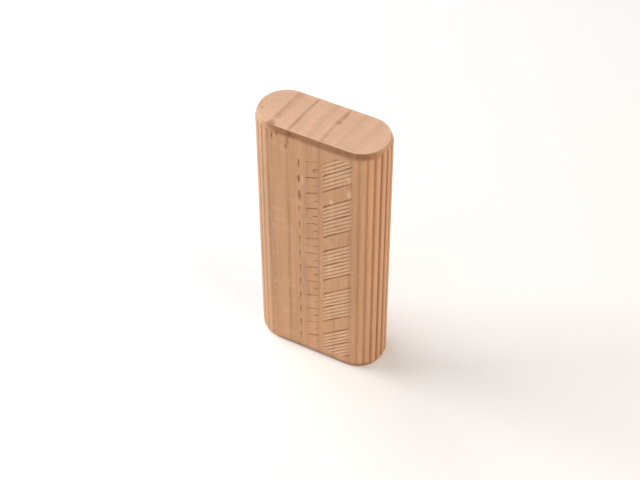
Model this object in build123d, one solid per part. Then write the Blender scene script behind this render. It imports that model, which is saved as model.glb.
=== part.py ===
from build123d import *
import math
import os

# Loose tenon, also called a floating tenon: a beech strip moulded with fluted round edges, cut to
# length, bevelled at both ends and pressed with glue grooves on both broad faces. One half glues
# into each of two facing slot mortises.
#
# All sizes are in millimetres. The origin is the centre of the lower end face. X runs across the
# width, Y through the thickness and Z along the length. Places along a face are given as (x, z).

# Moulded blank
width = 23.5  # over both round edges
thickness = 10.0  # also the diameter of the cutter that the mortise is made with
length = 50.0

# Bevel round each end
bevel_inset = 0.4  # taken off the end face all round
bevel_drop = 1.0  # taken off the length of the sides

# Flutes along the round edges
flute_pitch = 1.30  # from one flute to the next, along the curve
flute_radius = 0.32
flute_depth = 0.28  # at the tips of the edges
shallow_flute_depth = 0.08  # what the depth falls to towards the broad faces

# Slanted glue grooves, in a band beside the flutes
band_width = 5.1
band_lap = 0.2  # of the band over the first flute, past its middle
groove_slope = 38.0  # degrees above level, rising towards the flutes
groove_pitch = 0.85  # from one groove to the next, along the length
first_groove = 2.1  # from the top of the pressed length to the low end of the first groove
first_place = 1  # of the first groove in its cell, where 0 is the deep groove
press_margin = 2.0  # plain length that the press leaves at each end
groove_angle = 90.0  # degrees between the two flanks
deep_groove_depth = 0.28
fine_groove_depth = 0.18
grooves_per_cell = 4  # a deep groove, then fine ones up to the next deep groove
cells_per_repeat = 3  # the last cell of each repeat has no fine grooves

# Plain pressed marks between the band and the middle of the face
mark_depth = 0.18
mark_gap = 1.05  # from the band to the dashes
long_dash = 2.1  # across the face
short_dash = 0.8
dash_slope = 20.0  # degrees above level, rising towards the band
upright_gap = 1.3  # from the long dashes to the upright marks
upright_length = 1.7

# Worked out from the sizes above
edge_radius = thickness / 2
edge_centre = width / 2 - edge_radius
flute_step = flute_pitch / edge_radius  # radians
flutes_per_edge = math.floor(math.pi / flute_step)
first_flute = (math.pi - (flutes_per_edge - 1) * flute_step) / 2  # radians from the broad face
cell_pitch = grooves_per_cell * groove_pitch
pressed_length = length - 2 * press_margin
pressed_top = length - press_margin
band_right = edge_centre + edge_radius * math.sin(first_flute) + band_lap
band_left = band_right - band_width
groove_rise = band_width * math.tan(math.radians(groove_slope))


def fluted_section():
    """The moulded section: a slot shape with round flutes, deepest at the tips of its ends."""
    spots = []
    for index in range(flutes_per_edge):
        turn = first_flute + index * flute_step
        tip_share = math.sin(turn) ** 2
        depth = shallow_flute_depth + (flute_depth - shallow_flute_depth) * tip_share
        reach = edge_radius + flute_radius - depth
        across = edge_centre + reach * math.sin(turn)
        spots += [(side * across, -reach * math.cos(turn)) for side in (-1, 1)]
    return SlotOverall(width, thickness) - Locations(spots) * Circle(flute_radius)


def bevelled_envelope():
    """The plain slot shape at full length, bevelled round both ends."""
    block = extrude(SlotOverall(width, thickness), length)
    for place in (0, -1):
        end = block.faces().sort_by(Axis.Z)[place]
        block = chamfer(end.edges(), bevel_inset, bevel_drop, reference=end)
    return block


def groove(start, end, depth):
    """A V-shaped cutter that sinks to a depth in the front face and stands as far out of it."""
    face = -thickness / 2
    flare = 2 * depth * math.tan(math.radians(groove_angle / 2))
    section = make_face(
        Polyline((0, face + depth), (flare, face - depth), (-flare, face - depth), close=True)
    )
    across, up = end[0] - start[0], end[1] - start[1]
    turn = math.degrees(math.atan2(across, up))
    return Location((start[0], 0, start[1]), (0, turn, 0)) * extrude(section, math.hypot(across, up))


def slanted_grooves():
    """The glue grooves of one face, cut off square at the edges of the band and of the press."""
    band = Pos((band_left + band_right) / 2, -thickness / 2, length / 2)
    window = band * Box(band_width, thickness, pressed_length)
    cutters = []
    for index in range(math.floor((pressed_length - first_groove + groove_rise) / groove_pitch)):
        cell, place = divmod(index + first_place, grooves_per_cell)
        if place > 0 and cell % cells_per_repeat == cells_per_repeat - 1:
            continue
        low_end = pressed_top - first_groove - index * groove_pitch
        start = (band_left - band_width, low_end - groove_rise)
        end = (band_right + band_width, low_end + 2 * groove_rise)
        depth = fine_groove_depth if place > 0 else deep_groove_depth
        cutters.append(groove(start, end, depth) & window)
    return cutters


def plain_marks():
    """Long and short dashes by turns, and an upright mark beside each short dash, on one face.

    The first long dash ends level with the low end of the first groove.
    """
    right = band_left - mark_gap
    upright = right - long_dash - upright_gap
    first = pressed_top - first_groove
    room = first - press_margin - (cell_pitch + upright_length) / 2
    fall = math.tan(math.radians(dash_slope))
    cutters = []
    for row in range(math.floor(room / cell_pitch) + 1):
        level = first - row * cell_pitch
        between = level - cell_pitch / 2
        foot, head = between - upright_length / 2, between + upright_length / 2
        cutters += [
            groove((right - long_dash, level - fall * long_dash), (right, level), mark_depth),
            groove((right - short_dash, between - fall * short_dash), (right, between), mark_depth),
            groove((upright, foot), (upright, head), mark_depth),
        ]
    return cutters


def loose_tenon():
    """The finished tenon: moulded, cut to length, bevelled, then pressed on both faces."""
    blank = extrude(fluted_section(), length) & bevelled_envelope()
    front = slanted_grooves() + plain_marks()
    back = [Rot(0, 0, 180) * cutter for cutter in front]
    return blank - (front + back)


os.makedirs("parts", exist_ok=True)
export_step(loose_tenon(), "parts/loose_tenon.step")
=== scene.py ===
"""Looks of a loose tenon: moulded, bevelled and pressed beech, standing on one end.

The tenon is one closed surface. Its two parameters are the way round the moulded section and the
way up the length. Flutes, bevels and press marks are depths below the plain section, so each of
them is a formula on that grid. The finishes are solid wood: growth rings, rays and pores run
through the piece, and each face shows how it cuts them.

Sizes are in millimetres until a mesh is made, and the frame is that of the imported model.
"""
import logging
import math
from dataclasses import dataclass, replace
from enum import IntEnum

import bpy
import numpy as np
from mathutils import Matrix, Vector


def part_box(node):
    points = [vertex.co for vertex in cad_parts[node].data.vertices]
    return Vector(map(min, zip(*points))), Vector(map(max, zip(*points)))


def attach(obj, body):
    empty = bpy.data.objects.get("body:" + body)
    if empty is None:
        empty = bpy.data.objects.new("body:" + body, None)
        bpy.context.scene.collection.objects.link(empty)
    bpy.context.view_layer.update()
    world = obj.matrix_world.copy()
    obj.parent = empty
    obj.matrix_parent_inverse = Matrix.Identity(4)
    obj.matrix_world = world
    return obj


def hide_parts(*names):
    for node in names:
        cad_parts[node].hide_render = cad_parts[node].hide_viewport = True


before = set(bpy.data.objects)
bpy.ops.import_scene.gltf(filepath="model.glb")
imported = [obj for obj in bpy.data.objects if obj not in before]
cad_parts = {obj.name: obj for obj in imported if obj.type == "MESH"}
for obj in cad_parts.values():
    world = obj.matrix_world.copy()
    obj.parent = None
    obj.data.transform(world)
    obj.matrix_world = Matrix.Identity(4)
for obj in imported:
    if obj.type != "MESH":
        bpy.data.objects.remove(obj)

LOG = logging.getLogger("loose_tenon")
MM = 0.001  # metres in a millimetre
NODE = "loose_tenon"
BODY = "root"
BAKE_MAP = "OFBake"  # the name of the map that bakes are made through
HOLLOW_SHADE = "hollow_shade"  # attribute: painted shade in the flutes and press marks, with fibres crushed there, growing with depth, 0 to 1
PAINTED_HIGHLIGHT = "painted_highlight"  # attribute: painted highlight on the crests between grooves and flutes and along the end face's rim, 0 to 1
BURNISH_AND_SHADE = "burnish_and_shade"  # attribute: the bevel's burnish, with painted shade along the broad faces that eases off round the edges, 0 to 1
MIX_FACTOR, MIX_A, MIX_B, MIX_RESULT = 0, 6, 7, 2  # sockets of a colour Mix node
FROM_LOW, FROM_HIGH, TO_LOW, TO_HIGH = 1, 2, 3, 4  # inputs of a Map Range node
WHITE = "#FFFFFF"

Node = bpy.types.Node
Socket = bpy.types.NodeSocket
Tree = bpy.types.NodeTree


class Zone(IntEnum):
    """Material slots of the tenon, in their order."""

    LONG_GRAIN = 0
    BEVEL = 1
    END_GRAIN = 2


# --- Shape -----------------------------------------------------------------


def unit(values: np.ndarray) -> np.ndarray:
    """Values held between 0 and 1."""
    return np.clip(values, 0.0, 1.0)


def smooth_max(first: np.ndarray, second: np.ndarray, reach: np.ndarray) -> np.ndarray:
    """The larger of two heights, with the corner between them rounded off.

    max(a, b) + max(reach - |a - b|, 0)^2 / (4 reach), which is never less than the larger one.

    Args:
        first: heights.
        second: heights that broadcast with the first.
        reach: difference in height below which the corner is rounded, above nought.

    Returns:
        The rounded maximum.
    """
    near = np.maximum(reach - np.abs(first - second), 0.0)
    return np.maximum(first, second) + near**2 / (4.0 * reach)


def rounded_corner(start: np.ndarray, corner: np.ndarray, end: np.ndarray, count: int) -> np.ndarray:
    """Points of the quadratic curve from start to end that a corner pulls on.

    (1 - t)^2 start + 2 t (1 - t) corner + t^2 end, with t from 0 to 1.

    Args:
        start: first point.
        corner: the corner that is rounded off.
        end: last point.
        count: number of points, with both ends.

    Returns:
        Points, one to a row.
    """
    t = np.linspace(0.0, 1.0, count)[:, None]
    return (1 - t) ** 2 * start + 2 * t * (1 - t) * corner + t**2 * end


def add_object(name: str, data: bpy.types.ID) -> bpy.types.Object:
    """Adds an object to the scene, at the origin.

    Args:
        name: the object's name.
        data: its mesh, lamp or camera.

    Returns:
        The object.
    """
    thing = bpy.data.objects.new(name, data)
    bpy.context.scene.collection.objects.link(thing)
    return thing


@dataclass(frozen=True)
class Moulding:
    """The moulded section: a slot shape with round flutes along both round edges.

    The way round is measured from the left end of the front face, along the front face and the
    right round edge. That is half of the section. The other half is the same, turned by 180
    degrees.
    """

    width: float
    thickness: float
    flute_pitch: float = 1.30
    flute_radius: float = 0.32
    flute_depth: float = 0.28  # at the tips of the edges
    shallow: float = 0.08  # what the depth of a flute falls to towards the broad faces
    flute_spread: float = 0.23  # distance at which a flute's shoulder is down to a third
    sides: tuple[float, ...] = (0.0, 0.3, 0.6, 0.9, 1.25, 1.7, 2.2)  # columns of a flute, in spreads
    crown: float = 0.07  # how much the land between two flutes is rounded
    eased: float = 0.06  # height over which flutes and bevel run together
    lead: float = 0.9  # how far before a broad face the bevel's burnish and painted shade start
    onset: float = 1.9  # over which they come in full
    easing: float = 0.7  # turn round the far edge at which, and over which, they ease off again

    @property
    def edge_radius(self) -> float:
        """Radius of the round edges."""
        return self.thickness / 2

    @property
    def edge_centre(self) -> float:
        """Distance from the middle to the centre of a round edge."""
        return self.width / 2 - self.edge_radius

    @property
    def half_way(self) -> float:
        """Half of the way round."""
        return 2 * self.edge_centre + math.pi * self.edge_radius

    def flutes(self) -> np.ndarray:
        """Lays the flutes on the right edge, evenly about its tip.

        Returns:
            Places along the way round, in rising order.
        """
        count = math.floor(math.pi * self.edge_radius / self.flute_pitch)
        tip = 2 * self.edge_centre + math.pi * self.edge_radius / 2
        return tip + (np.arange(count) - (count - 1) / 2) * self.flute_pitch

    def across(self, way: np.ndarray) -> np.ndarray:
        """Distance from the middle of the face, for places on the front half of the section."""
        return self.plain(way)[0][:, 0]

    def plain(self, way: np.ndarray) -> tuple[np.ndarray, np.ndarray]:
        """Points and outward normals of the plain slot shape on its first half.

        On the face the point is (way - a, -r). On the edge it is (a + r sin t, -r cos t), where
        t = (way - 2 a) / r, a is the distance to the edge's centre and r its radius.

        Args:
            way: places along the way round, from 0 to half_way.

        Returns:
            Points and normals, one to a row.
        """
        radius, centre = self.edge_radius, self.edge_centre
        turn = np.maximum(way - 2 * centre, 0.0) / radius
        normal = np.stack([np.sin(turn), -np.cos(turn)], axis=1)
        middle = np.minimum(way - centre, centre)
        return np.stack([middle, np.zeros_like(middle)], axis=1) + radius * normal, normal

    def cut(self, way: np.ndarray) -> np.ndarray:
        """Depth of the flutes: each is an arc of a circle with its shoulders worn round.

        sqrt(R^2 - d^2) - (R - depth) near the middle of the flute and depth exp(-(d / spread)^2)
        on its shoulders, whichever is less deep, where d is the distance to the flute's middle.
        A flute's own depth is shallow + (flute_depth - shallow) sin^2 t, where t is its turn.
        The land between two flutes is crowned: crown (1 - ridge) is cut from it.

        Args:
            way: places along the way round, from 0 to half_way.

        Returns:
            Depths.
        """
        flutes = self.flutes()
        turn = (flutes - 2 * self.edge_centre) / self.edge_radius
        depths = self.shallow + (self.flute_depth - self.shallow) * np.sin(turn) ** 2
        aside = np.abs(way[:, None] - flutes[None, :])
        beside, depth = aside.min(axis=1), depths[aside.argmin(axis=1)]
        arc = np.sqrt(np.maximum(self.flute_radius**2 - beside**2, 0.0))
        arc = arc - (self.flute_radius - depth)
        bell = depth * np.exp(-((beside / self.flute_spread) ** 2))
        cut = np.where(beside < self.flute_spread / 2, np.minimum(arc, bell), bell)
        return np.maximum(cut, self.crown * (1 - self.ridges(way)) * self.among_flutes(way))

    def among_flutes(self, way: np.ndarray) -> np.ndarray:
        """1 from the first flute to the last one and 0 outside."""
        flutes = self.flutes()
        return ((way >= flutes[0]) & (way <= flutes[-1])).astype(float)

    def ridges(self, way: np.ndarray) -> np.ndarray:
        """How near each place is to the ridge between two flutes, as sin^2(pi d / pitch), 0 to 1."""
        turn = np.pi * (way - self.flutes()[0]) / self.flute_pitch
        return np.sin(turn) ** 2 * self.among_flutes(way)

    def rub_and_shade(self, way: np.ndarray) -> np.ndarray:
        """Where the bevel's burnish and painted shade lie, 0 to 1: strong along the broad faces.

        They come on as the way comes onto a broad face and ease off round the lit edge at that face's far
        end.
        Each of the two is a smooth step, 3 t^2 - 2 t^3.

        Args:
            way: places along the way round, from 0 to half_way.

        Returns:
            How hard it rubs each place.
        """
        turn = (way - 2 * self.edge_centre) / self.edge_radius
        steps = (
            unit((way + self.lead) / self.onset),
            unit((turn - self.easing) / self.easing),
            unit((way + self.lead - self.half_way) / self.onset),
        )
        start, end, again = (step**2 * (3 - 2 * step) for step in steps)
        return start * (1 - end) + again

    def columns(self) -> np.ndarray:
        """Works out the columns that draw the flutes.

        Returns:
            Places along the way round: each flute's bottom, its shoulders and the land beside it.
        """
        offsets = self.flute_spread * np.array(self.sides)
        offsets = np.concatenate([-offsets[:0:-1], offsets, [self.flute_pitch / 2]])
        return (self.flutes()[:, None] + offsets[None, :]).ravel()


@dataclass(frozen=True)
class EndBevel:
    """The bevel round each end, with its two corners eased. Places are (inset, drop from the end)."""

    inset: float = 0.4
    drop: float = 1.0
    eased: float = 0.12  # how far up and in each corner is rounded
    corner_points: int = 5
    slope_points: int = 6
    burnished: float = 0.68  # how far down the bevel the burnish is full
    smear: float = 0.4  # over which the burnish then fades
    creep: float = 0.08  # over which the burnish fades on the end face
    rim_highlight: float = 0.25  # how far onto the end face the painted highlight along its edge reaches

    def profile(self) -> tuple[np.ndarray, np.ndarray]:
        """The line from the side, up the bevel and onto the end face.

        Two straight lines with a quadratic curve at each corner.

        Returns:
            Points, one to a row, and the zone of the strip that follows each point.
        """
        foot, brow = np.array([0.0, self.drop]), np.array([self.inset, 0.0])
        along = (brow - foot) * self.eased / self.drop
        steps = np.linspace(0, 1, self.slope_points + 2)[1:-1, None]
        lower = rounded_corner(foot + [0.0, self.eased], foot, foot + along, self.corner_points)
        slope = foot + along + (brow - foot - 2 * along) * steps
        upper = rounded_corner(brow - along, brow, brow + [self.eased, 0.0], self.corner_points)
        side = foot + self.smear * np.array([[0.0, 0.9], [0.0, 0.6]])
        face = brow + self.rim_highlight * np.array([[1.0, 0.0], [2.0, 0.0]])
        points = np.concatenate([side, lower, slope, upper, face])
        half = self.corner_points // 2
        zones = np.full(len(points), int(Zone.BEVEL))
        zones[: len(side) + half] = Zone.LONG_GRAIN
        zones[-len(face) - half - 1 :] = Zone.END_GRAIN
        return points, zones

    def wear(self, inset: np.ndarray, drop: np.ndarray) -> tuple[np.ndarray, np.ndarray]:
        """How much each point of the profile is burnished and shaded, and how much painted highlight lies
        on its rim.

        Burnish and painted shade are full on the upper part of the bevel. They are exp(-(d / smear)^2) at a
        distance d below that part, and exp(-(d / creep)^2) at a distance d onto the end face. The rim's
        painted highlight is exp(-(d / rim_highlight)^2) at a distance d onto the end face.

        Args:
            inset: how far in from the side each point is.
            drop: how far from the end each point is.

        Returns:
            Burnish with painted shade, and the rim's painted highlight, 0 to 1.
        """
        below = np.maximum(drop - self.burnished, 0.0)
        onto = np.maximum(inset - self.inset, 0.0)
        burnish_and_shade = np.exp(-((below / self.smear) ** 2) - (onto / self.creep) ** 2)
        rim_highlight = np.exp(-((onto / self.rim_highlight) ** 2)) * unit(1 - drop / self.eased)
        return burnish_and_shade, rim_highlight


@dataclass(frozen=True)
class Press:
    """Glue grooves and plain marks pressed into a broad face. Places are (across, up) from its foot."""

    length: float
    flute: float  # place across of the first flute's middle
    band_lap: float = 0.2  # of the band over the first flute, past its middle
    band_width: float = 5.1
    slope: float = 38.0  # of the grooves, in degrees
    pitch: float = 0.85  # of the grooves, up the face
    first_groove: float = 2.1  # from the upper margin down to the low end of the first one
    first_place: int = 1  # of the first groove in its cell, where 0 is the deep one
    margin: float = 2.0  # that stays plain at each end
    deep: float = 0.28  # depth of the first groove in each cell
    fine: float = 0.18  # depth of the others
    per_cell: int = 4  # grooves
    cells_per_repeat: int = 3  # of which the last has its deep groove alone
    mark: float = 0.18  # depth of the dashes and upright marks
    mark_gap: float = 1.05  # from the band to the dashes
    long_dash: float = 2.1
    short_dash: float = 0.8
    dash_slope: float = 20.0  # in degrees
    upright_gap: float = 1.3  # from the long dashes to the upright marks
    upright_length: float = 1.7
    upright_foot: float = 0.4  # share of an upright mark's depth that is left at its foot
    upright_reach: float = 1.5  # of the columns that draw it, to each side, in depths
    upright_columns: int = 11
    groove_reach: float = 1.2  # half of a groove's width, in depths
    wall: float = 0.04  # half of the run of a mark's end wall
    seed: int = 7  # of how hard each groove is pressed
    mark_seed: int = 116  # of how hard each mark is pressed
    unevenness: float = 0.3  # share of a groove's depth
    # Share of its depth that the faintest long dash, short dash and upright mark has.
    faintest: tuple[float, float, float] = (0.5, 0.5, 0.85)
    rows_per_pitch: int = 6

    @property
    def band_right(self) -> float:
        """Edge of the band of glue grooves that laps over the first flute."""
        return self.flute + self.band_lap

    @property
    def band_left(self) -> float:
        """Inner edge of the band of glue grooves."""
        return self.band_right - self.band_width

    @property
    def marks_right(self) -> float:
        """Edge of the dashes that faces the band."""
        return self.band_left - self.mark_gap

    @property
    def upright(self) -> float:
        """Middle of the upright marks."""
        return self.marks_right - self.long_dash - self.upright_gap

    @property
    def first_low_end(self) -> float:
        """Height of the low end of the first groove."""
        return self.length - self.margin - self.first_groove

    def rows(self) -> np.ndarray:
        """Works out the rows of the pressed part, a whole number of them for each groove.

        Returns:
            Heights in falling order. At the band's inner edge every rows_per_pitch-th of them
            falls on a groove's middle.
        """
        above = self.first_low_end + math.ceil(self.first_groove / self.pitch) * self.pitch
        count = math.floor((above - self.margin) / self.pitch) + 1
        return above - np.arange(count * self.rows_per_pitch + 1) * self.pitch / self.rows_per_pitch

    def columns(self) -> np.ndarray:
        """Works out the columns of the pressed part.

        In the band and among the dashes they step by one row's height over the slope, so that a
        groove or a dash follows the grid's diagonals.

        Returns:
            Places across that draw the upright marks, the dashes' ends and the band.
        """
        row = self.pitch / self.rows_per_pitch
        run = row / math.tan(math.radians(self.slope))
        dash_run = row / math.tan(math.radians(self.dash_slope))
        dash_ends = self.marks_right - np.array([self.long_dash, self.short_dash, 0.0])
        ends = np.concatenate([dash_ends, [self.band_left, self.band_right]])
        sides = np.linspace(-self.upright_reach, self.upright_reach, self.upright_columns)
        return np.concatenate(
            [
                self.upright + self.mark * sides,
                (ends[:, None] + self.wall * np.array([-1.0, 1.0])).ravel(),
                self.band_left + np.arange(1, math.ceil(self.band_width / run)) * run,
                self.marks_right - np.arange(1, math.ceil(self.long_dash / dash_run)) * dash_run,
            ]
        )

    def valley(self, aside: np.ndarray, depth: np.ndarray) -> np.ndarray:
        """Section of a pressed groove: a rounded V, somewhat wider on each side than it is deep.

        depth / 2 (1 + cos(pi aside / (groove_reach depth))), and nought beyond.

        Args:
            aside: distance from the groove's middle.
            depth: depth of the groove.

        Returns:
            Depth at each place.
        """
        reach = np.maximum(self.groove_reach * depth, 1e-6)
        return np.where(aside < reach, depth / 2 * (1 + np.cos(np.pi * aside / reach)), 0.0)

    def within(self, place: np.ndarray, low: float, high: float) -> np.ndarray:
        """1 between two places and 0 beyond them, over the run of an end wall."""
        return unit(np.minimum(place - low, high - place) / (2 * self.wall) + 0.5)

    def grooves(self, across: np.ndarray, up: np.ndarray) -> tuple[np.ndarray, np.ndarray]:
        """Depth of the slanted glue grooves, and the painted highlight on the crests between them.

        Each groove is pressed less hard in one place than another: its depth goes as
        1 - unevenness (1 + sin(phase + 2 pi x / band width)) / 2, with a phase of its own.

        A point's groove number is its height below the first groove's line over the pitch. Its
        distance from the nearest groove is the rest of that number, times pitch and cos(slope).

        The crest's painted highlight is sin^2 of pi times the groove number, where there is a groove on
        both sides.

        Args:
            across: places across, as a row.
            up: heights, as a column.

        Returns:
            Depths on the grid, and the painted highlight on the crests, from 0 to 1.
        """
        angle = math.radians(self.slope)
        number = (self.first_low_end + (across - self.band_left) * math.tan(angle) - up) / self.pitch
        nearest = np.rint(number).astype(int)
        aside = np.abs(number - nearest) * self.pitch * math.cos(angle)
        kinds = np.arange(max(int(nearest.max()), 0) + 2) + self.first_place
        repeat = (kinds // self.per_cell) % self.cells_per_repeat
        fine = np.where(repeat == self.cells_per_repeat - 1, 0.0, self.fine)
        depths = np.where(kinds % self.per_cell == 0, self.deep, fine)
        draw = np.random.default_rng(self.seed)
        phase = 2 * np.pi * draw.random(len(kinds))[np.maximum(nearest, 0)]
        swell = 0.5 + 0.5 * np.sin(phase + 2 * np.pi * across / self.band_width)
        depth = np.where(nearest >= 0, depths[np.maximum(nearest, 0)], 0.0)
        depth = depth * (1 - self.unevenness * swell)
        window = self.within(across, self.band_left, self.band_right)
        window = window * self.within(up, self.margin, self.length - self.margin)
        above = np.floor(number).astype(int)
        pair = np.append(np.minimum(depths[:-1], depths[1:]), 0.0)
        crest_highlight = np.where(above >= 0, pair[np.maximum(above, 0)], 0.0) / self.fine
        crest_highlight = unit(crest_highlight) * np.sin(np.pi * number) ** 2
        return self.valley(aside, depth) * window, crest_highlight * window

    def marks(self, across: np.ndarray, up: np.ndarray) -> np.ndarray:
        """Depth of the dashes and upright marks, which come once in each cell of the grooves.

        Short dashes and upright marks stand half a cell below the long dashes. An upright mark is
        shallower, and so narrower, towards its foot.

        Args:
            across: places across, as a row.
            up: heights, as a column.

        Returns:
            Depths on the grid.
        """
        cell = self.per_cell * self.pitch
        slope = math.radians(self.dash_slope)
        rows = math.floor((self.first_low_end - self.margin - (cell + self.upright_length) / 2) / cell)
        draw = np.random.default_rng(self.mark_seed)
        faintest = np.array(self.faintest)[:, None]
        force = self.mark * (faintest + (1 - faintest) * draw.random((3, rows + 1)))
        number = (self.first_low_end - up) / cell
        sloping = number - (self.marks_right - across) * math.tan(slope) / cell
        depths = []
        for kind, (lower, length) in enumerate(((0.0, self.long_dash), (0.5, self.short_dash))):
            row = np.clip(np.rint(sloping - lower), 0, rows)
            aside = np.abs(sloping - lower - row) * cell * math.cos(slope)
            dash = self.valley(aside, force[kind, row.astype(int)])
            depths.append(dash * self.within(across, self.marks_right - length, self.marks_right))
        row = np.clip(np.rint(number - 0.5), 0, rows)
        below = (number - 0.5 - row) * cell
        taper = (1 + self.upright_foot) / 2 - (1 - self.upright_foot) * below / self.upright_length
        taper = np.clip(taper, self.upright_foot, 1.0)
        upright = self.valley(np.abs(across - self.upright), force[2, row.astype(int)] * taper)
        depths.append(upright * self.within(np.abs(below), -1.0, self.upright_length / 2))
        return np.maximum.reduce(depths)


@dataclass
class LooseTenon:
    """The tenon: one closed surface on the grid of the way round and the way up."""

    moulding: Moulding
    bevel: EndBevel
    press: Press
    base: float  # height of the tenon's foot
    name: str = "pressed_tenon"
    sharp: float = 50.0  # degrees: an edge that turns by more is drawn sharp
    map_scale: float = 0.0165  # of the bake map, for each millimetre
    map_margin: float = 0.004  # of that map
    map_step: float = 1.1  # from one end face to the other on that map, in widths
    face_columns: int = 7
    onset_columns: tuple[float, ...] = (0.2, 0.4, 0.6, 0.8, 1.0, 1.2)  # where the cutter comes on
    groove_tint: float = 0.6  # share of the crushed colour, with its painted shade, at the bottom of the deepest groove
    groove_power: float = 1.5  # of the depth, as which that share grows
    mark_tint: float = 0.85  # share at the bottom of the deepest mark
    mark_power: float = 1.2  # of the depth, in marks and flutes
    ridge_highlight: float = 0.35  # painted highlight on the ridges between flutes at the tips of the edges
    least_rim_highlight: float = 0.3  # share of the rim's painted highlight round the edges, where rub_and_shade is nought
    least_burnished: float = 0.15  # share of the burnish and painted shade there
    lit_half_share: float = 0.9  # share of the painted shade and highlight on the back half, whose round edge is the left one that the strongest lamps light

    def lay_columns(self) -> tuple[np.ndarray, np.ndarray]:
        """Places along the first half of the way round, and which of them lie in the pressed part.

        Returns:
            Places in rising order, and True for those from the upright marks to the band's far edge.
        """
        centre = self.moulding.edge_centre
        radius = self.moulding.edge_radius
        pressed = self.press.columns()
        on_edge = np.maximum(pressed - centre, 0.0)
        pressed = np.minimum(pressed, centre) + centre + radius * np.arcsin(on_edge / radius)
        start, end = pressed.min(), pressed.max()
        ways = [
            np.linspace(0.0, start, self.face_columns, endpoint=False),
            self.onset_columns,
            pressed,
            [2 * centre],
            self.moulding.columns(),
        ]
        way = np.unique(np.concatenate(ways))
        least = self.moulding.eased / 4  # from one column to the next
        way = way[np.concatenate([[True], np.diff(way) > least])]
        return way, (way >= start) & (way <= end + least)

    def lay_rows(self) -> tuple[np.ndarray, np.ndarray, np.ndarray, slice]:
        """Rows from the lower end face to the upper one.

        Returns:
            Heights, insets, the zone of the strip above each row, and the pressed part's rows.
        """
        profile, zones = self.bevel.profile()
        lattice = self.press.rows()[::-1]
        up = np.concatenate([profile[::-1, 1], lattice, self.press.length - profile[:, 1]])
        inset = np.concatenate([profile[::-1, 0], np.zeros_like(lattice), profile[:, 0]])
        below = np.concatenate([zones[-2::-1], [Zone.LONG_GRAIN]])
        plain = np.full(len(lattice), int(Zone.LONG_GRAIN))
        first = len(profile)
        pressed = slice(first, first + len(lattice) - 1)
        return up, inset, np.concatenate([below, plain, zones[:-1]]), pressed

    def relief(self, way: np.ndarray, up: np.ndarray,
               inset: np.ndarray) -> tuple[np.ndarray, dict[str, np.ndarray]]:
        """Depth below the plain section: flutes and bevel run together, press marks where deeper.

        A press mark's depth is taken from the plane of the face, so it runs out as the edge
        falls away from that plane by r (1 - cos t), and so do the painted highlights on the crests between
        the grooves. The painted highlight on the ridges between flutes is strongest at the tips of the
        edges, and the bevel's burnish and painted shade follow rub_and_shade. The share of the crushed
        colour and painted shade grows as a power of the depth.

        Args:
            way: places along the first half.
            up: heights.
            inset: how far the bevel has cut in at each height.

        Returns:
            Depths, a row for each height, and the attributes' values on the same grid.
        """
        points, normals = self.moulding.plain(way)
        flutes = self.moulding.cut(way)[None, :]
        inset = inset[:, None]
        moulded = smooth_max(flutes, inset, np.minimum(inset, self.moulding.eased) + 1e-9)
        fall = self.moulding.edge_radius + np.minimum(points[:, 1], 0.0)
        across, height = points[None, :, 0], up[:, None]
        grooves, crest_highlights = self.press.grooves(across, height)
        crest_highlights = crest_highlights * unit(1 - fall / self.press.fine)
        marks = self.press.marks(across, height)
        pressed = np.maximum(grooves, marks) - fall[None, :]
        # Painted shade in the hollows of flutes, grooves and marks, with the crushed fibres there.
        flute_share = unit((flutes - inset) / self.moulding.flute_depth) ** self.mark_power
        groove_share = unit(pressed / self.press.deep) ** self.groove_power * self.groove_tint
        mark_share = unit(marks / self.press.mark) ** self.mark_power * self.mark_tint
        burnish_and_shade, rim_highlight = self.bevel.wear(inset, np.minimum(height, self.press.length - height))
        rubbed_and_shaded = self.moulding.rub_and_shade(way)[None, :]
        rim_highlight = rim_highlight * (self.least_rim_highlight + (1 - self.least_rim_highlight) * rubbed_and_shaded)
        burnish_and_shade = burnish_and_shade * (self.least_burnished + (1 - self.least_burnished) * rubbed_and_shaded)
        # Painted highlight on the ridges between flutes, strongest at the tips of the edges.
        ridges = self.ridge_highlight * self.moulding.ridges(way) * np.abs(normals[:, 0])
        shares = {
            HOLLOW_SHADE: np.maximum.reduce([flute_share, groove_share, mark_share]),
            PAINTED_HIGHLIGHT: np.maximum.reduce([crest_highlights, rim_highlight, np.broadcast_to(ridges, crest_highlights.shape)]),
            BURNISH_AND_SHADE: burnish_and_shade,
        }
        return np.maximum(moulded, pressed), shares

    @staticmethod
    def strips(low: np.ndarray, high: np.ndarray, left: np.ndarray, right: np.ndarray,
               wide: int) -> np.ndarray:
        """Numbers the corners of quads on the grid.

        Args:
            low: numbers of the quads' lower rows.
            high: of their upper rows.
            left: of their left columns.
            right: of their right columns.
            wide: how many columns the grid has.

        Returns:
            Quads, one to a row.
        """
        return np.stack(
            [low * wide + left, low * wide + right, high * wide + right, high * wide + left], axis=-1
        ).reshape(-1, 4)

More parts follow.
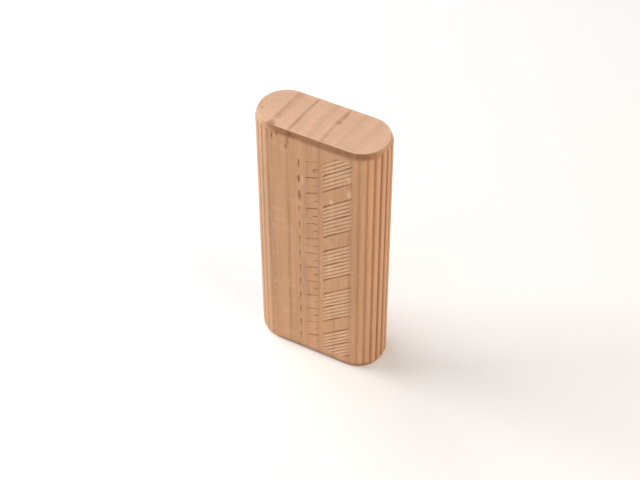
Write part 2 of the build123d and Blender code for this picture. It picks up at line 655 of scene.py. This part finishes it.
    def faces(self, fine: np.ndarray, rows: int, pressed: slice) -> tuple[np.ndarray, np.ndarray]:
        """Faces of the sides, with long quads where the wood is only fluted.

        Between two pressed columns each row has two triangles, cut along the way the grooves
        rise. Between two plain columns one quad takes rows_per_pitch rows. Where the two meet, a
        fan joins the long edge to the short ones.

        Args:
            fine: which columns are pressed.
            rows: number of rows.
            pressed: rows that are pressed.

        Returns:
            Quads, and triangles.
        """
        wide, step = len(fine), self.press.rows_per_pitch
        left = np.arange(wide)
        right = (left + 1) % wide
        every = np.arange(rows - 1)
        ends = every[(every < pressed.start) | (every >= pressed.stop)]
        quads = [self.strips(ends[:, None], ends[:, None] + 1, left, right, wide)]
        coarse = np.arange(pressed.start, pressed.stop, step)
        both = ~fine[left] & ~fine[right]
        quads.append(self.strips(coarse[:, None], coarse[:, None] + step, left[both], right[both], wide))
        both = fine[left] & fine[right]
        short = np.arange(pressed.start, pressed.stop)
        split = self.strips(short[:, None], short[:, None] + 1, left[both], right[both], wide)
        triangles = [split[:, [0, 1, 2]], split[:, [0, 2, 3]]]
        low = coarse[:, None]
        part = np.arange(step)[None, :]
        for edge in np.flatnonzero(fine[left] != fine[right]):
            plain, worked = (right[edge], left[edge]) if fine[left[edge]] else (left[edge], right[edge])
            fan = np.stack(
                np.broadcast_arrays(
                    low * wide + plain,
                    (low + part) * wide + worked,
                    (low + part + 1) * wide + worked,
                ),
                axis=-1,
            ).reshape(-1, 3)
            tip = np.concatenate(
                [low * wide + plain, (low + step) * wide + worked, (low + step) * wide + plain], axis=1
            )
            new = np.concatenate([fan, tip])
            triangles.append(new[:, ::-1] if fine[left[edge]] else new)
        return np.concatenate(quads), np.concatenate(triangles)

    def build(self) -> bpy.types.Object:
        """Makes the tenon's mesh, with its zones, its attributes and its bake map.

        Returns:
            The object, at the origin.
        """
        way, fine = self.lay_columns()
        up, inset, zones, pressed = self.lay_rows()
        depth, shares = self.relief(way, up, inset)
        points, normals = self.moulding.plain(way)
        level = points[None] - normals[None] * depth[..., None]
        level = np.concatenate([level, -level], axis=1)
        heights = np.broadcast_to(up[:, None, None], level.shape[:2] + (1,))
        place = np.concatenate([level, heights + self.base], axis=2)
        fine = np.tile(fine, 2)
        wide, rows = len(fine), len(up)
        quads, triangles = self.faces(fine, rows, pressed)
        ring = np.arange(wide)
        caps = [ring[::-1].tolist(), (ring + (rows - 1) * wide).tolist()]
        used = np.unique(np.concatenate([quads.ravel(), triangles.ravel()]))
        new = np.full(wide * rows, -1)
        new[used] = np.arange(len(used))
        faces = new[quads].tolist() + new[triangles].tolist() + [new[cap].tolist() for cap in caps]
        mesh = bpy.data.meshes.new(self.name)
        mesh.from_pydata((place.reshape(-1, 3)[used] * MM).tolist(), [], faces)
        lowest = np.concatenate([quads.min(axis=1), triangles.min(axis=1)]) // wide
        zone = np.concatenate([zones[lowest], [Zone.END_GRAIN, Zone.END_GRAIN]])
        mesh.polygons.foreach_set("material_index", zone.astype(np.int32))
        for name, share in shares.items():
            # The back half, round the lit left edge, gets less painted shade and highlight; the burnish
            # stays as it is.
            second = share if name == BURNISH_AND_SHADE else share * self.lit_half_share
            values = np.concatenate([share, second], axis=1).ravel()[used].astype(np.float32)
            mesh.attributes.new(name, "FLOAT", "POINT").data.foreach_set("value", values)
        self.map_for_bakes(mesh, used, np.concatenate([way, way + self.moulding.half_way]), up)
        mesh.polygons.foreach_set("use_smooth", np.ones(len(mesh.polygons), bool))
        mesh.set_sharp_from_angle(angle=math.radians(self.sharp))
        mesh.validate()
        mesh.update()
        LOG.info("%s: %d vertices, %d faces", self.name, len(mesh.vertices), len(mesh.polygons))
        return add_object(self.name, mesh)

    def map_for_bakes(self, mesh: bpy.types.Mesh, used: np.ndarray, way: np.ndarray,
                      up: np.ndarray) -> None:
        """Adds a map that unrolls the sides in one sheet and lays the two end faces below it.

        Args:
            mesh: the tenon's mesh, whose last two faces are the ends.
            used: each vertex's number on the grid.
            way: places along the whole way round.
            up: heights of the rows.
        """
        corner = np.empty(len(mesh.loops), np.int32)
        mesh.loops.foreach_get("vertex_index", corner)
        first = np.empty(len(mesh.polygons), np.int32)
        mesh.polygons.foreach_get("loop_start", first)
        column = used[corner] % len(way)
        along = way[column]
        closing = np.maximum.reduceat(column, first) - np.minimum.reduceat(column, first) > 1
        size = np.diff(np.append(first, len(corner)))
        along = along + np.where(np.repeat(closing, size) & (column == 0), 2 * self.moulding.half_way, 0)
        height = up[used[corner] // len(way)] + self.moulding.thickness
        flat = np.stack([along, height], axis=1)
        place = np.empty(len(mesh.vertices) * 3)
        mesh.vertices.foreach_get("co", place)
        place = place.reshape(-1, 3)[corner] / MM
        for order, start in enumerate(first[-2:]):
            stop = start + size[len(size) - 2 + order]
            middle = self.moulding.width * (0.5 + self.map_step * order)
            flat[start:stop] = place[start:stop, :2] + [middle, self.moulding.thickness / 2]
        layer = mesh.uv_layers.new(name=BAKE_MAP)
        flat = flat * self.map_scale + self.map_margin
        layer.uv.foreach_set("vector", flat.astype(np.float32).ravel())


# --- Finishes --------------------------------------------------------------


def linear(code: str) -> tuple[float, float, float, float]:
    """Turns an sRGB hex colour to a linear one.

    Args:
        code: the colour as #RRGGBB.

    Returns:
        Red, green, blue and alpha.
    """
    parts = [int(code[place : place + 2], 16) / 255 for place in (1, 3, 5)]
    steps = [part / 12.92 if part <= 0.04045 else ((part + 0.055) / 1.055) ** 2.4 for part in parts]
    return (steps[0], steps[1], steps[2], 1.0)


def add_node(tree: Tree, kind: str, inputs: dict | None = None, **settings: object) -> Node:
    """Adds a shader node to a tree.

    Args:
        tree: the node tree.
        kind: the node's type name, without the ShaderNode that it starts with.
        inputs: for each input, by name or number, what is linked to it or the value that it gets.
            A node there stands for its first output.
        **settings: the node's own properties.

    Returns:
        The node.
    """
    node = tree.nodes.new("ShaderNode" + kind)
    for name, value in settings.items():
        setattr(node, name, value)
    for socket, value in (inputs or {}).items():
        if isinstance(value, (Node, Socket)):
            source = value.outputs[0] if isinstance(value, Node) else value
            tree.links.new(source, node.inputs[socket])
        else:
            node.inputs[socket].default_value = value
    return node


def empty_tree(owner: bpy.types.Material | bpy.types.World) -> Tree:
    """Gives a material or a world a node tree with nothing in it.

    Args:
        owner: the material or world.

    Returns:
        The node tree.
    """
    owner.use_nodes = True
    owner.node_tree.nodes.clear()
    return owner.node_tree


@dataclass(frozen=True)
class Pattern:
    """Noise stretched to a size in millimetres, and smoothly spread between two of its levels."""

    size: tuple[float, float, float]
    low: float  # level of the noise that gives the least
    high: float  # level that gives the most
    least: float = 0.0
    most: float = 1.0

    def lay(self, tree: Tree, place: Node) -> Node:
        """Adds the pattern.

        Args:
            tree: the node tree.
            place: coordinates in millimetres.

        Returns:
            The pattern, from its least to its most.
        """
        scaled = add_node(tree, "VectorMath", {0: place, 1: self.size}, operation="DIVIDE")
        noise = add_node(tree, "TexNoise", {"Vector": scaled, "Scale": 1.0, "Detail": 1.0})
        levels = {FROM_LOW: self.low, FROM_HIGH: self.high, TO_LOW: self.least, TO_HIGH: self.most}
        return add_node(tree, "MapRange", {"Value": noise} | levels, interpolation_type="SMOOTHSTEP")


@dataclass(frozen=True)
class Ring:
    """One growth ring's line of late wood, in millimetres along the width."""

    place: float  # of its outer edge
    strength: float
    fade: float  # how far in it fades
    edge: float = 0.12  # how far out
    dark: float = 0.3  # share of the fade that is at full strength


# Rings as the growth of each year left them, wide and narrow, from the left to the right.
GROWTH = (
    Ring(-10.6, 0.25, 0.7),
    Ring(-6.95, 0.6, 0.65, 1.1),
    Ring(-3.5, 0.8, 0.6, 0.3),
    Ring(0.0, 0.25, 1.2, 0.4),
    Ring(2.25, 0.55, 0.7, 0.3),
    Ring(5.1, 0.25, 0.8, 0.4),
    Ring(7.7, 0.25, 0.8, 0.5),
)


@dataclass(frozen=True)
class Patch:
    """An oval patch of another colour in the wood, in millimetres from the middle of the foot."""

    middle: tuple[float, float, float]
    half_size: tuple[float, float, float]
    strength: float  # in its middle
    full: float = 0.2  # share of its size that is at full strength

    def lay(self, tree: Tree, place: Node) -> Node:
        """Adds the patch, which fades smoothly out to its rim.

        Args:
            tree: the node tree.
            place: coordinates in millimetres.

        Returns:
            Its share at each place, from 0 to its strength.
        """
        offset = add_node(tree, "VectorMath", {0: place, 1: self.middle}, operation="SUBTRACT")
        scaled = add_node(tree, "VectorMath", {0: offset, 1: self.half_size}, operation="DIVIDE")
        away = add_node(tree, "VectorMath", {0: scaled}, operation="LENGTH").outputs["Value"]
        levels = {FROM_LOW: self.full, TO_LOW: self.strength, TO_HIGH: 0.0}
        return add_node(tree, "MapRange", {"Value": away} | levels, interpolation_type="SMOOTHSTEP")


THROUGH = 900.0  # half the height of a streak that doesn't fade from end to end
STAINS_AND_SHADE = (
    # Gum that runs up through the whole piece and shows on its ends.
    Patch((-10.3, -1.5, 25.0), (0.6, 0.5, THROUGH), 0.22),
    Patch((-7.0, -2.0, 25.0), (0.7, 0.7, THROUGH), 0.22),
    Patch((2.35, 0.85, 25.0), (0.6, 0.7, THROUGH), 0.38),
    Patch((2.55, 2.6, 25.0), (0.5, 1.9, THROUGH), 0.28),
    # Scorches of the bevel's cutter where it came onto the front face, and below them.
    Patch((-7.1, -4.5, 50.0), (1.3, 1.0, 0.9), 0.42),
    Patch((-5.8, -5.0, 49.0), (0.45, 0.6, 0.6), 0.45),
    Patch((-3.6, -4.8, 49.5), (0.7, 0.8, 0.62), 0.65),
    Patch((-3.85, -5.0, 48.2), (0.42, 0.8, 1.5), 0.36),
    Patch((-4.2, -5.0, 46.9), (0.28, 0.6, 0.8), 0.6),
    Patch((-6.7, -5.0, 48.25), (0.22, 0.5, 1.0), 0.85),
    Patch((-7.5, -4.94, 48.1), (0.35, 0.6, 1.2), 0.26),
    Patch((-8.76, -4.58, 47.1), (0.35, 0.6, 1.3), 0.2),
    # Crushed fibres and painted shade about the marks that are pressed the hardest.
    Patch((-1.85, -5.0, 44.3), (0.4, 0.4, 1.2), 0.2),
    Patch((-1.92, -5.0, 41.0), (0.42, 0.4, 1.2), 0.4),
    Patch((-1.8, -5.0, 37.4), (0.42, 0.4, 1.4), 0.45),
    Patch((0.9, -5.0, 43.6), (0.5, 0.4, 0.32), 0.35),
)
# Fibres torn up pale beside the pressed grooves, and a painted highlight on the lit right wall of an
# upright mark.
TORN_AND_HIGHLIGHT = (
    Patch((7.2, -5.0, 44.5), (0.8, 0.4, 0.65), 0.85),
    Patch((7.2, -5.0, 41.3), (0.65, 0.4, 1.3), 0.85),
    Patch((4.0, -5.0, 38.35), (0.6, 0.4, 0.85), 0.7),
    # Painted highlight on the lit right wall of an upright mark.
    Patch((-1.25, -5.0, 41.0), (0.35, 0.4, 1.5), 0.45),
)


@dataclass(frozen=True)
class Beech:
    """Bare beech, solid through the piece. Lengths are in millimetres.

    The growth rings are near enough planes square to the width, so they show as upright lines on
    the broad faces and as lines from front to back on the end. Rays are thin plates along the
    width: flakes on the broad faces, short dashes on the round edges, hairlines on the end.
    """

    name: str
    ground: str
    late: str  # late wood at a ring's outer edge
    ray: str
    vessel: str
    crushed_and_shade: str  # bottoms of flutes and press marks: painted shade in the hollows, with fibres crushed by the cutter and the press
    crest_highlight: str  # painted highlight on crests between grooves or flutes, and along the end face's rim
    rubbed_and_shaded: str  # wood that the bevel's cutter rubs, with painted shade along the broad faces
    late_share: float
    ray_share: float
    vessel_share: float
    crushed_and_shade_share: float
    crest_highlight_share: float
    rubbed_and_shaded_share: float
    roughness: float
    bump: float
    growth: tuple[Ring, ...] = GROWTH
    torn_and_highlight: tuple[Patch, ...] = TORN_AND_HIGHLIGHT
    fuzz_and_highlight: str = "#F8D0A8"  # torn fibres, and a painted highlight on the lit wall of an upright mark
    stains_and_shade: tuple[Patch, ...] = STAINS_AND_SHADE
    stain_and_shade: str = "#7A4000"  # gum, scorches, and crushed fibres with painted shade about the marks
    ring_lean: float = 0.08  # along the width for each millimetre from front to back
    ring_margin: float = 1.0  # of the ramp, beyond the first ring and the last
    waver: float = 0.9  # of a ring's line, from side to side
    waver_rate: tuple[float, float, float] = (0.16, 0.10, 0.022)  # times for each millimetre
    weak: Pattern = Pattern((5.0, 4.0, 14.0), 0.3, 0.55, 0.5)  # how strong a ring is, place by place
    rays: Pattern = Pattern((3.0, 0.22, 1.1), 0.56, 0.70)
    ray_gloss: float = 0.1  # how much smoother a ray is
    bands: Pattern = Pattern((2.2, 9.0, 26.0), 0.2, 0.8, 0.93, 1.07)  # broad, light and dark
    rub: Pattern = Pattern((0.9, 0.9, 0.6), 0.3, 0.7, 0.8)  # how evenly the bevel's cutter rubs
    # Fibres are really about 0.02 mm across and vessels 0.06 mm, too fine to show, so both are
    # drawn wider.
    fibres: Pattern = Pattern((0.22, 0.22, 8.0), 0.25, 0.75)
    fibre_share: float = 0.1
    vessel_size: tuple[float, float, float] = (0.34, 0.34, 3.2)
    vessel_core: float = 0.16  # share of that size at which a vessel is full
    vessel_rim: float = 0.30  # share at which it ends
    vessel_depth: float = 0.8  # beside the relief of the fibres
    relief: float = 0.05  # height of the fibres
    ior: float = 1.45

    def material(self) -> bpy.types.Material:
        """Builds the finish.

        Returns:
            The material.
        """
        made = bpy.data.materials.new(self.name)
        tree = empty_tree(made)
        coordinates = add_node(tree, "TexCoord").outputs["Object"]
        place = add_node(tree, "VectorMath", {0: coordinates, "Scale": 1 / MM}, operation="SCALE")
        ray = self.rays.lay(tree, place)
        fibre = self.fibres.lay(tree, place)
        vessel = self.vessels(tree, place)
        relief = add_node(
            tree, "Math", {0: vessel, 1: -self.vessel_depth, 2: fibre}, operation="MULTIPLY_ADD"
        )
        smoother = self.roughness - self.ray_gloss
        inputs = {
            "Base Color": self.colour(tree, place, ray, fibre, vessel),
            "Roughness": add_node(
                tree, "MapRange", {"Value": ray, TO_LOW: self.roughness, TO_HIGH: smoother}
            ),
            "IOR": self.ior,
            "Normal": add_node(
                tree, "Bump", {"Height": relief, "Strength": self.bump, "Distance": self.relief * MM}
            ),
        }
        surface = add_node(tree, "BsdfPrincipled", inputs)
        add_node(tree, "OutputMaterial", {"Surface": surface})
        return made

    def colour(self, tree: Tree, place: Node, ray: Node, fibre: Node, vessel: Node) -> Node:
        """Colour: the ground, then layer upon layer, then the shading of fibres and broad bands.

        Args:
            tree: the node tree.
            place: coordinates in millimetres.
            ray: share of rays, 0 to 1.
            fibre: relief of the fibres, 0 to 1.
            vessel: share of vessels, 0 to 1.

        Returns:
            The colour.
        """
        hollow_shade, painted_highlight, burnish_and_shade = (
            add_node(tree, "Attribute", attribute_name=name).outputs["Fac"]
            for name in (HOLLOW_SHADE, PAINTED_HIGHLIGHT, BURNISH_AND_SHADE)
        )
        rubbed_and_shaded = add_node(tree, "Math", {0: burnish_and_shade, 1: self.rub.lay(tree, place)}, operation="MULTIPLY")
        colour = linear(self.ground)
        # Painted shade lies in the hollows and on the bevel, and painted highlights on crests, ridges and
        # the end face's rim.
        for layer, share, code in (
            (self.rings(tree, place), self.late_share, self.late),
            (ray, self.ray_share, self.ray),
            (vessel, self.vessel_share, self.vessel),
            (painted_highlight, self.crest_highlight_share, self.crest_highlight),
            (self.strongest(tree, place, self.torn_and_highlight), 1.0, self.fuzz_and_highlight),
            (hollow_shade, self.crushed_and_shade_share, self.crushed_and_shade),
            (rubbed_and_shaded, self.rubbed_and_shaded_share, self.rubbed_and_shaded),
            (self.strongest(tree, place, self.stains_and_shade), 1.0, self.stain_and_shade),
        ):
            amount = add_node(tree, "Math", {0: layer, 1: share}, operation="MULTIPLY")
            colour = add_node(
                tree, "Mix", {MIX_FACTOR: amount, MIX_A: colour, MIX_B: linear(code)}, data_type="RGBA"
            ).outputs[MIX_RESULT]
        fine = add_node(tree, "MapRange", {"Value": fibre, TO_LOW: 1 - self.fibre_share})
        shade = add_node(tree, "Math", {0: fine, 1: self.bands.lay(tree, place)}, operation="MULTIPLY")
        return add_node(tree, "VectorMath", {0: colour, "Scale": shade}, operation="SCALE")

    def rings(self, tree: Tree, place: Node) -> Node:
        """Growth rings: darker towards each ring's outer edge, where the line is crisp.

        The rings' lines lie along x - lean y + waver noise, on a ramp from the first to the last.

        Args:
            tree: the node tree.
            place: coordinates in millimetres.

        Returns:
            The share of late wood, 0 to 1.
        """
        start = self.growth[0].place - self.ring_margin
        span = self.growth[-1].place + self.ring_margin - start
        broad = add_node(tree, "VectorMath", {0: place, 1: self.waver_rate}, operation="MULTIPLY")
        drift = add_node(tree, "TexNoise", {"Vector": broad, "Scale": 1.0, "Detail": 1.0})
        plane = (1.0, -self.ring_lean, 0.0)
        lean = add_node(tree, "VectorMath", {0: place, 1: plane}, operation="DOT_PRODUCT").outputs["Value"]
        across = add_node(tree, "Math", {0: drift, 1: self.waver, 2: lean}, operation="MULTIPLY_ADD")
        low = start + self.waver / 2
        across = add_node(tree, "MapRange", {"Value": across, FROM_LOW: low, FROM_HIGH: low + span})
        ramp = add_node(tree, "ValToRGB", {"Fac": across})
        stops = ramp.color_ramp.elements
        stops[0].color = stops[1].color = (0.0, 0.0, 0.0, 1.0)
        for ring in self.growth:
            for at, height in (
                (ring.place - ring.fade, 0.0),
                (ring.place - ring.fade * ring.dark, ring.strength),
                (ring.place, ring.strength),
                (ring.place + ring.edge, 0.0),
            ):
                stops.new((at - start) / span).color = (height, height, height, 1.0)
        return add_node(tree, "Math", {0: ramp, 1: self.weak.lay(tree, place)}, operation="MULTIPLY")

    def vessels(self, tree: Tree, place: Node) -> Node:
        """Vessels: one in the middle of each cell of a stretched cell pattern.

        Args:
            tree: the node tree.
            place: coordinates in millimetres.

        Returns:
            The share of vessels, 0 to 1.
        """
        scaled = add_node(tree, "VectorMath", {0: place, 1: self.vessel_size}, operation="DIVIDE")
        away = add_node(tree, "TexVoronoi", {"Vector": scaled, "Scale": 1.0})
        levels = {FROM_LOW: self.vessel_core, FROM_HIGH: self.vessel_rim, TO_LOW: 1.0, TO_HIGH: 0.0}
        return add_node(tree, "MapRange", {"Value": away} | levels, interpolation_type="SMOOTHSTEP")

    @staticmethod
    def strongest(tree: Tree, place: Node, patches: tuple[Patch, ...]) -> Node:
        """Share of the strongest patch at each place.

        Args:
            tree: the node tree.
            place: coordinates in millimetres.
            patches: the patches, at least one.

        Returns:
            The share, 0 to 1.
        """
        share = patches[0].lay(tree, place)
        for patch in patches[1:]:
            share = add_node(tree, "Math", {0: share, 1: patch.lay(tree, place)}, operation="MAXIMUM")
        return share


# Beech planed by a moulder and pressed: smooth, dull, warm brown.
MOULDED_BEECH = Beech(
    name="beech_moulded",
    ground="#DAA77D",
    late="#B5825A",
    ray="#E6BE98",
    vessel="#A87850",
    crushed_and_shade="#92501F",
    crest_highlight="#F2D0AE",
    rubbed_and_shaded="#875934",
    late_share=0.7,
    ray_share=0.25,
    vessel_share=0.2,
    crushed_and_shade_share=0.9,
    crest_highlight_share=0.6,
    rubbed_and_shaded_share=0.85,
    roughness=0.55,
    bump=0.3,
)
# Bevelled by a blunt cutter that rubs the fibres: brown and slightly shiny.
BURNISHED_BEECH = replace(
    MOULDED_BEECH,
    name="beech_burnished_bevel",
    ground="#DAA781",
    vessel="#8A5C3E",
    crushed_and_shade="#80502E",
    late_share=0.5,
    ray_share=0.3,
    crushed_and_shade_share=0.4,
    roughness=0.42,
    bump=0.2,
)
# Cross-cut by a fine saw: matt and pinker, with the rings as lines from front to back.
SAWN_BEECH = replace(
    MOULDED_BEECH,
    name="beech_sawn_end",
    ground="#DEB497",
    late="#B08566",
    ray="#EAC6A8",
    vessel="#C39A7B",
    crushed_and_shade="#B98D6C",
    crest_highlight="#F4D3BA",
    late_share=0.9,
    ray_share=0.35,
    crushed_and_shade_share=0.0,
    crest_highlight_share=0.4,
    rubbed_and_shaded_share=0.6,
    roughness=0.7,
    bump=0.25,
)


# --- Studio ----------------------------------------------------------------


@dataclass(frozen=True)
class Lamp:
    """A square soft lamp that points at the middle of the tenon. Lengths are in millimetres."""

    name: str
    azimuth: float  # degrees, 0 in front of the tenon and 90 at its right
    elevation: float
    distance: float
    side: float
    watts: float
    colour: str = WHITE

    def place(self, target: Vector) -> None:
        """Adds the lamp to the scene.

        Args:
            target: the point that it shines at, in metres.
        """
        light = bpy.data.lights.new(self.name, "AREA")
        light.size = self.side * MM
        light.energy = self.watts
        light.color = linear(self.colour)[:3]
        lamp = add_object(self.name, light)
        back = direction(self.azimuth, self.elevation)
        lamp.location = target + back * self.distance * MM
        lamp.rotation_euler = back.to_track_quat("Z", "Y").to_euler()
        LOG.info("%s: %.2f W", self.name, self.watts)


def direction(azimuth: float, elevation: float) -> Vector:
    """Works out a direction as seen from the tenon.

    Args:
        azimuth: degrees, 0 to the front (-Y) and 90 to the right (+X).
        elevation: degrees.

    Returns:
        A unit vector.
    """
    turn, rise = math.radians(azimuth), math.radians(elevation)
    flat = math.cos(rise)
    return Vector((math.sin(turn) * flat, -math.cos(turn) * flat, math.sin(rise)))


@dataclass(frozen=True)
class Viewpoint:
    """The camera: where it stands from the point it looks at, in degrees and millimetres."""

    azimuth: float = 28.6
    elevation: float = 45.0
    roll: float = -0.3
    distance: float = 268.2
    aim: tuple[float, float, float] = (-0.63, -0.34, 23.6)
    lens: float = 89.3
    nearest: float = 10.0  # that it shows

    def place(self) -> None:
        """Adds the camera and makes it the scene's own."""
        lens = bpy.data.cameras.new("camera")
        lens.lens = self.lens
        lens.clip_start = self.nearest * MM
        back = direction(self.azimuth, self.elevation)
        right = direction(self.azimuth + 90, 0)
        up = back.cross(right)
        turn = math.radians(self.roll)
        across = right * math.cos(turn) + up * math.sin(turn)
        above = up * math.cos(turn) - right * math.sin(turn)
        camera = add_object("camera", lens)
        spot = (Vector(self.aim) + back * self.distance) * MM
        camera.matrix_world = Matrix.Translation(spot) @ Matrix((across, above, back)).transposed().to_4x4()
        bpy.context.scene.camera = camera
        LOG.info("camera: %.1f mm lens", self.lens)


def seen_rays(tree: Tree) -> Node:
    """Tells the rays that the camera sees by, straight on or in a reflection, from the others.

    Args:
        tree: the node tree.

    Returns:
        1 for what the camera sees and 0 for what lights the scene.
    """
    path = add_node(tree, "LightPath").outputs
    seen = path["Is Camera Ray"]
    for ray in ("Is Glossy Ray", "Is Transmission Ray"):
        seen = add_node(tree, "Math", {0: seen, 1: path[ray]}, operation="MAXIMUM")
    return seen


@dataclass(frozen=True)
class Studio:
    """A plain pale floor under soft light, which is strong from the left and warmer from the right.

    Lengths are in millimetres.
    """

    floor_half: float = 2000.0
    floor_colour: str = "#F5F6F8"
    floor_roughness: float = 0.9
    floor_specular: float = 0.1
    floor_lift: float = 0.14  # glow that only the camera sees, so that the floor looks white
    far_lift: float = 0.75  # the same where the lamps hardly reach
    lift_start: float = 120.0  # from the tenon, where the glow starts to grow
    lift_end: float = 420.0
    air_colour: str = WHITE
    air_strength: float = 0.23
    lamps: tuple[Lamp, ...] = (
        Lamp("key_lamp", azimuth=-107, elevation=56, distance=420, side=230, watts=0.56),
        Lamp("side_lamp", azimuth=-76, elevation=28, distance=500, side=260, watts=1.65, colour="#FFFEFC"),
        Lamp("fill_lamp", azimuth=-15, elevation=62, distance=600, side=300, watts=0.35),
        Lamp("right_lamp", azimuth=80, elevation=26, distance=500, side=240, watts=1.12, colour="#FFE3C2"),
    )

    def lay_floor(self) -> bpy.types.Object:
        """Makes the floor: one square of matt white board, level with the tenon's foot.

        Returns:
            The floor.
        """
        half = self.floor_half * MM
        mesh = bpy.data.meshes.new("floor")
        mesh.from_pydata(
            [(-half, -half, 0), (half, -half, 0), (half, half, 0), (-half, half, 0)], [], [(0, 1, 2, 3)]
        )
        matt = bpy.data.materials.new("matt_white_board")
        tree = empty_tree(matt)
        spot = add_node(tree, "TexCoord").outputs["Object"]
        away = add_node(tree, "VectorMath", {0: spot}, operation="LENGTH").outputs["Value"]
        reach = {FROM_LOW: self.lift_start * MM, FROM_HIGH: self.lift_end * MM}
        levels = {TO_LOW: self.floor_lift, TO_HIGH: self.far_lift}
        lift = add_node(
            tree, "MapRange", {"Value": away} | reach | levels, interpolation_type="SMOOTHSTEP"
        )
        inputs = {
            "Base Color": linear(self.floor_colour),
            "Roughness": self.floor_roughness,
            "Specular IOR Level": self.floor_specular,
            "Emission Color": linear(WHITE),
            "Emission Strength": add_node(
                tree, "Math", {0: seen_rays(tree), 1: lift}, operation="MULTIPLY"
            ),
        }
        surface = add_node(tree, "BsdfPrincipled", inputs)
        add_node(tree, "OutputMaterial", {"Surface": surface})
        mesh.materials.append(matt)
        LOG.info("floor: %.0f mm square", 2 * self.floor_half)
        return add_object("floor", mesh)

    def light(self, target: Vector) -> None:
        """Adds the lamps and the even light of the room.

        Args:
            target: the point that the lamps shine at, in metres.
        """
        for lamp in self.lamps:
            lamp.place(target)
        world = bpy.data.worlds.new("room")
        tree = empty_tree(world)
        strength = add_node(
            tree, "MapRange", {"Value": seen_rays(tree), TO_LOW: self.air_strength, TO_HIGH: 1.0}
        )
        air = add_node(tree, "Background", {"Color": linear(self.air_colour), "Strength": strength})
        add_node(tree, "OutputWorld", {"Surface": air})
        bpy.context.scene.world = world
        bpy.context.scene.view_settings.view_transform = "Standard"


def main() -> None:
    """Builds the tenon on its CAD node, dresses it, and sets the studio round it."""
    logging.basicConfig(level=logging.INFO, format="%(message)s")
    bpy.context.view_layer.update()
    low, high = (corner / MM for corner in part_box(NODE))
    moulding = Moulding(width=high.x - low.x, thickness=high.y - low.y)
    tenon = LooseTenon(
        moulding=moulding,
        bevel=EndBevel(),
        press=Press(
            length=high.z - low.z, flute=float(moulding.across(moulding.flutes()[:1])[0])
        ),
        base=low.z,
    ).build()
    for finish in (MOULDED_BEECH, BURNISHED_BEECH, SAWN_BEECH):
        tenon.data.materials.append(finish.material())
    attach(tenon, BODY)
    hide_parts(NODE)
    studio = Studio()
    studio.lay_floor()
    studio.light(Vector((0, 0, (low.z + high.z) / 2)) * MM)
    Viewpoint().place()


if __name__ == "__main__":
    main()
